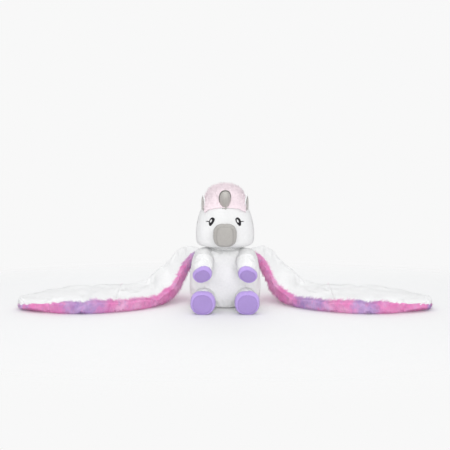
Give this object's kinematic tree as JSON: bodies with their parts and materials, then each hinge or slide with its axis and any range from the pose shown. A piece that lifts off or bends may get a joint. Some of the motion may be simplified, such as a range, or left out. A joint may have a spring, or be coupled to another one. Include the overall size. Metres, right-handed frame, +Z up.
{
  "type": "weighted plush unicorn",
  "caption": "Sitting plush unicorn with bead-weighted wings that drape to the floor and fold, nodding head, soft limbs and tail.",
  "frame": {"origin": "centre of the flat seat panel that the toy sits on", "axes": "+X towards the toy's left wing tip, -Y the way the face looks, +Z up"},
  "size_m": [1.0078, 0.2869, 0.2972],
  "materials": {
    "white_plush": "short-pile plush",
    "lavender_plush": "short-pile plush",
    "tie_dye_fur": "tie-dyed long-pile fur",
    "pink_fur": "long-pile fur",
    "silver_cloth": "metallic cloth",
    "black_thread": "satin-stitched thread",
    "fibre_fill": "loose polyester fibre",
    "bead_pouch": "plain-weave pouch of plastic beads"
  },
  "bodies": {
    "torso": {"torso_cover": "white_plush", "seat_panel": "white_plush", "seat_bead_pouch": "bead_pouch", "torso_stuffing": "fibre_fill"},
    "neck": {"neck": "fibre_fill"},
    "head": {"head_cover": "white_plush", "head_stuffing": "fibre_fill", "snout": "silver_cloth", "nose_panel": "silver_cloth", "horn": "silver_cloth", "ear_right": "white_plush", "ear_left": "white_plush", "ear_lining_right": "silver_cloth", "ear_lining_left": "silver_cloth", "mane": "pink_fur", "eye_right": "black_thread", "eye_left": "black_thread"},
    "tail": {"tail": "tie_dye_fur"},
    "arm_right": {"arm_sleeve_right": "white_plush", "arm_hoof_right": "lavender_plush", "arm_stuffing_right": "fibre_fill"},
    "leg_right": {"leg_sleeve_right": "white_plush", "leg_hoof_right": "lavender_plush", "leg_stuffing_right": "fibre_fill"},
    "wing_root_right": {"wing_root_top_right": "white_plush", "wing_root_fur_right": "tie_dye_fur", "wing_root_pouch_right": "bead_pouch"},
    "wing_middle_right": {"wing_middle_top_right": "white_plush", "wing_middle_fur_right": "tie_dye_fur", "wing_middle_pouch_right": "bead_pouch"},
    "wing_tip_right": {"wing_tip_top_right": "white_plush", "wing_tip_fur_right": "tie_dye_fur", "wing_tip_pouch_right": "bead_pouch"},
    "arm_left": {"arm_sleeve_left": "white_plush", "arm_hoof_left": "lavender_plush", "arm_stuffing_left": "fibre_fill"},
    "leg_left": {"leg_sleeve_left": "white_plush", "leg_hoof_left": "lavender_plush", "leg_stuffing_left": "fibre_fill"},
    "wing_root_left": {"wing_root_top_left": "white_plush", "wing_root_fur_left": "tie_dye_fur", "wing_root_pouch_left": "bead_pouch"},
    "wing_middle_left": {"wing_middle_top_left": "white_plush", "wing_middle_fur_left": "tie_dye_fur", "wing_middle_pouch_left": "bead_pouch"},
    "wing_tip_left": {"wing_tip_top_left": "white_plush", "wing_tip_fur_left": "tie_dye_fur", "wing_tip_pouch_left": "bead_pouch"}
  },
  "joints": [
    {"name": "head_turn", "type": "hinge", "parent": "torso", "child": "neck", "pos_m": [0, 0, 0.126], "axis": [0, 0, 1], "range_deg": [-25, 25], "stiffness_Nm_per_rad": 0.6},
    {"name": "head_nod", "type": "hinge", "parent": "neck", "child": "head", "pos_m": [0, 0, 0.163], "axis": [1, 0, 0], "range_deg": [-6, 6], "stiffness_Nm_per_rad": 4},
    {"name": "tail_lift", "type": "hinge", "parent": "torso", "child": "tail", "pos_m": [0, 0.08125, 0.034], "axis": [1, 0, 0], "range_deg": [0, 35]},
    {"name": "arm_raise_right", "type": "hinge", "parent": "torso", "child": "arm_right", "pos_m": [-0.05, -0.0681, 0.117], "axis": [-1, 0, 0], "range_deg": [0, 35]},
    {"name": "leg_raise_right", "type": "hinge", "parent": "torso", "child": "leg_right", "pos_m": [-0.05, -0.08168, 0.027], "axis": [-1, 0, 0], "range_deg": [0, 15]},
    {"name": "wing_raise_right", "type": "hinge", "parent": "torso", "child": "wing_root_right", "pos_m": [-0.06167, 0.02492, 0.126], "axis": [0.5461, 0.8377, 0], "range_deg": [0, 40]},
    {"name": "wing_inner_fold_right", "type": "hinge", "parent": "wing_root_right", "child": "wing_middle_right", "pos_m": [-0.18214, 0.03538, 0.02374], "axis": [-0.1938, 0.9756, 0.103], "range_deg": [0, 60]},
    {"name": "wing_outer_fold_right", "type": "hinge", "parent": "wing_middle_right", "child": "wing_tip_right", "pos_m": [-0.34098, -0.01098, 0.0135], "axis": [-0.036, 0.9994, 0], "range_deg": [0, 60]},
    {"name": "arm_raise_left", "type": "hinge", "parent": "torso", "child": "arm_left", "pos_m": [0.05, -0.06807, 0.117], "axis": [-1, 0, 0], "range_deg": [0, 35]},
    {"name": "leg_raise_left", "type": "hinge", "parent": "torso", "child": "leg_left", "pos_m": [0.05, -0.08168, 0.027], "axis": [-1, 0, 0], "range_deg": [0, 15]},
    {"name": "wing_raise_left", "type": "hinge", "parent": "torso", "child": "wing_root_left", "pos_m": [0.06167, 0.02492, 0.126], "axis": [0.5461, -0.8377, 0], "range_deg": [0, 40]},
    {"name": "wing_inner_fold_left", "type": "hinge", "parent": "wing_root_left", "child": "wing_middle_left", "pos_m": [0.18214, 0.03538, 0.02374], "axis": [-0.1938, -0.9756, -0.103], "range_deg": [0, 60]},
    {"name": "wing_outer_fold_left", "type": "hinge", "parent": "wing_middle_left", "child": "wing_tip_left", "pos_m": [0.34098, -0.01098, 0.0135], "axis": [-0.036, -0.9994, 0], "range_deg": [0, 60]}
  ]
}
